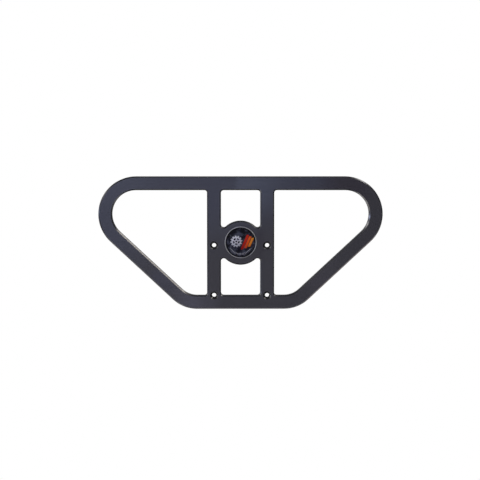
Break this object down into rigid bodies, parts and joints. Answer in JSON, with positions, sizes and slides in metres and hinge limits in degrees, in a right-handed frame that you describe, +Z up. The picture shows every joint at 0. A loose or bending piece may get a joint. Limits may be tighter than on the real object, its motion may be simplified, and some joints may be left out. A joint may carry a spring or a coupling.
{
  "type": "atv front bumper",
  "caption": "Flat milled aluminium front bumper for a quad bike: a rounded ring with uprights, a central hub with a round domed badge, and countersunk screw holes.",
  "frame": {"origin": "centre of the rectangle of screw holes, on the rear face of the plate", "axes": "the plate stands upright as mounted: +X across the vehicle, -Y out of the front face, +Y towards the vehicle, +Z up"},
  "size_m": [0.46, 0.0141, 0.215],
  "materials": {
    "black_anodised": "satin black anodised aluminium, brushed lengthwise on its faces, with milled walls and chamfers",
    "badge_metal": "black printed face inside a thin bright turned rim",
    "clear_resin": "clear glossy resin cap"
  },
  "bodies": {
    "root": {"bumper_plate": "black_anodised", "badge_disc": "badge_metal", "badge_dome": "clear_resin"}
  },
  "joints": []
}
